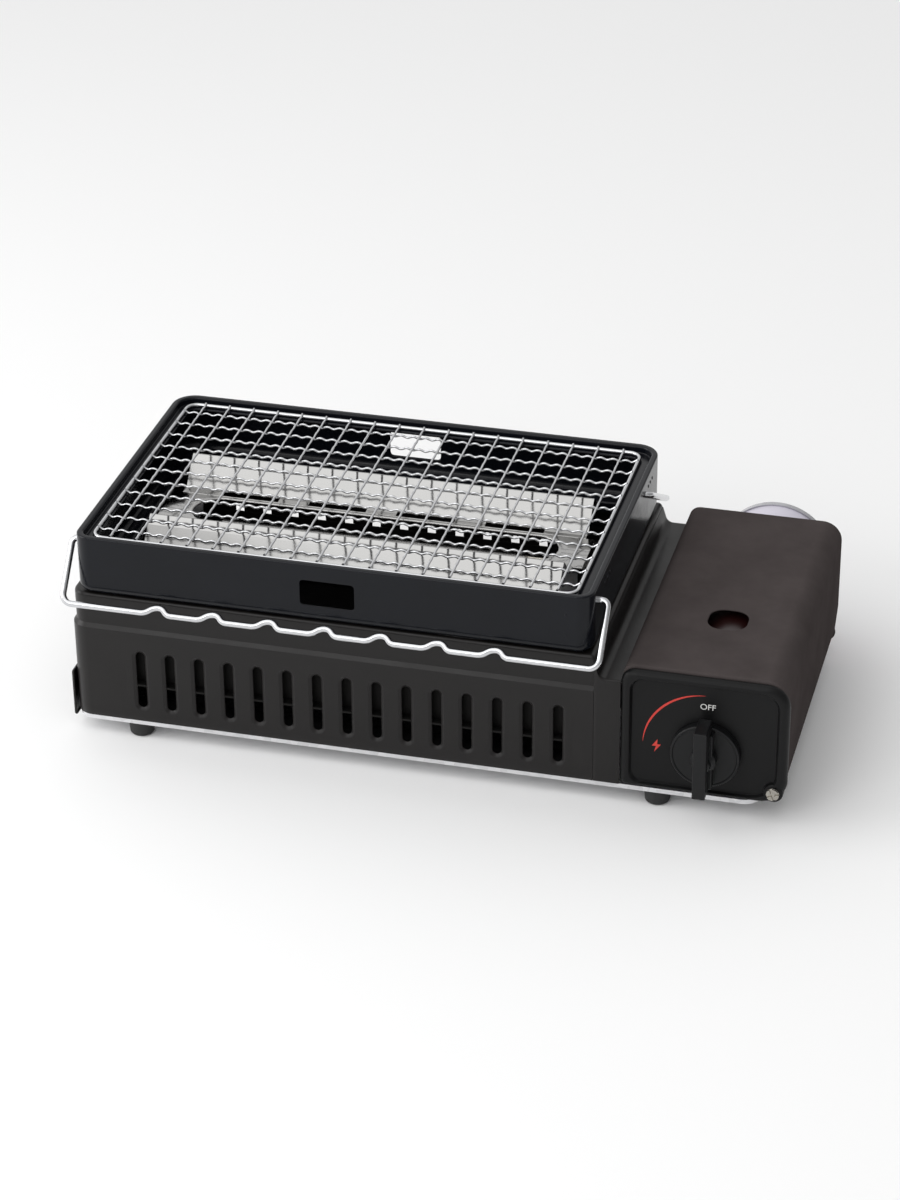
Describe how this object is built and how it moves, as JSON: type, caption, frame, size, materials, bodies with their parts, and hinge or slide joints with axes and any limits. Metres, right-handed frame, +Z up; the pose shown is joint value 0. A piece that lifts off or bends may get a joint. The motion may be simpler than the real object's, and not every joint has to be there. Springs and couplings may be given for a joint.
{
  "type": "cassette gas grill",
  "caption": "Table-top gas grill with a slotted steel fire box, a lift-off wire net, hinged skewer rests, a slide-out drip tray and a covered bay for a gas canister.",
  "frame": {"origin": "on the table, under the middle of the whole grill's box", "axes": "+X to the right along the grill's length, towards the gas bay; +Y to the back; +Z up"},
  "size_m": [0.4284, 0.2442, 0.1315],
  "materials": {
    "casing_paint": "satin",
    "panel_paint": "satin",
    "lid_paint": "satin",
    "frame_enamel": "gloss",
    "tray_enamel": "gloss",
    "galvanised": "galvanised",
    "shield_steel": "satin",
    "burner_steel": "satin",
    "bright_steel": "bright",
    "wire_chrome": "bright",
    "nickel": "satin",
    "brass": "satin",
    "die_cast": "cast",
    "magnet": "matt",
    "ceramic": "glazed",
    "lead_sleeve": "matt",
    "igniter_plastic": "matt",
    "knob_plastic": "satin",
    "nylon": "satin",
    "foot_rubber": "matt",
    "can_paint": "gloss",
    "can_steel": "tinned"
  },
  "bodies": {
    "body": {"base_plate": "galvanised", "body_shell": "casing_paint", "side_deck": "casing_paint", "control_panel": "panel_paint", "rear_hinge_bracket": "galvanised", "lid_hinge_pins": "nickel", "foot_front_left": "foot_rubber", "foot_rear_left": "foot_rubber", "foot_front_right": "foot_rubber", "foot_rear_right": "foot_rubber", "foot_screws": "nickel", "front_heat_shield": "shield_steel", "rear_heat_shield": "shield_steel", "burner_tube": "burner_steel", "mixing_tube": "burner_steel", "air_shutter": "brass", "gas_nozzle": "brass", "left_burner_bracket": "galvanised", "right_burner_bracket": "galvanised", "left_plate_support": "galvanised", "right_plate_support": "galvanised", "radiant_plate": "bright_steel", "electrode_insulator": "ceramic", "spark_electrode": "nickel", "ignition_lead": "lead_sleeve", "igniter_body": "igniter_plastic", "governor_body": "die_cast", "governor_cap": "die_cast", "holder_magnets": "magnet", "canister_cradle": "galvanised"},
    "frame": {"top_frame": "frame_enamel"},
    "net": {"net_border": "wire_chrome", "net_depth_wires": "wire_chrome", "net_cross_wires": "wire_chrome"},
    "front_rest": {"front_skewer_rest": "wire_chrome"},
    "rear_rest": {"rear_skewer_rest": "wire_chrome"},
    "tray": {"drip_tray": "tray_enamel", "tray_facia": "casing_paint"},
    "lid": {"canister_lid": "lid_paint"},
    "knob": {"control_knob": "knob_plastic", "knob_shaft": "nickel", "igniter_cam": "nylon"},
    "plunger": {"igniter_plunger": "nylon"},
    "canister": {"canister_shell": "can_paint", "canister_base": "can_steel", "canister_collar": "can_steel", "canister_stem": "nylon"}
  },
  "joints": [
    {"name": "frame_lift", "type": "slide", "parent": "body", "child": "frame", "axis": [0, 0, 1], "range_m": [0, 0.06]},
    {"name": "net_lift", "type": "slide", "parent": "frame", "child": "net", "axis": [0, 0, 1], "range_m": [0, 0.05]},
    {"name": "front_rest_swing", "type": "hinge", "parent": "frame", "child": "front_rest", "pos_m": [-0.05185, -0.08395, 0.122], "axis": [-1, 0, 0], "range_deg": [0, 150]},
    {"name": "rear_rest_swing", "type": "hinge", "parent": "frame", "child": "rear_rest", "pos_m": [-0.05185, 0.04605, 0.122], "axis": [1, 0, 0], "range_deg": [0, 115]},
    {"name": "tray_slide", "type": "slide", "parent": "body", "child": "tray", "axis": [-1, 0, 0], "range_m": [0, 0.27]},
    {"name": "lid_open", "type": "hinge", "parent": "body", "child": "lid", "pos_m": [0.20675, 0, 0.0202], "axis": [0, 1, 0], "range_deg": [0, 95]},
    {"name": "knob_turn", "type": "hinge", "parent": "body", "child": "knob", "pos_m": [0.16755, -0.10055, 0.041], "axis": [0, -1, 0], "range_deg": [0, 90]},
    {"name": "igniter_press", "type": "slide", "parent": "body", "child": "plunger", "axis": [-1, 0, 0], "range_m": [0, 0.0051]},
    {"name": "canister_slide", "type": "slide", "parent": "body", "child": "canister", "axis": [0, 1, 0], "range_m": [0, 0.2]}
  ],
  "couplings": [
    {"joint": "igniter_press", "follows": "knob_turn", "m_per_rad": 0.0031831}
  ]
}
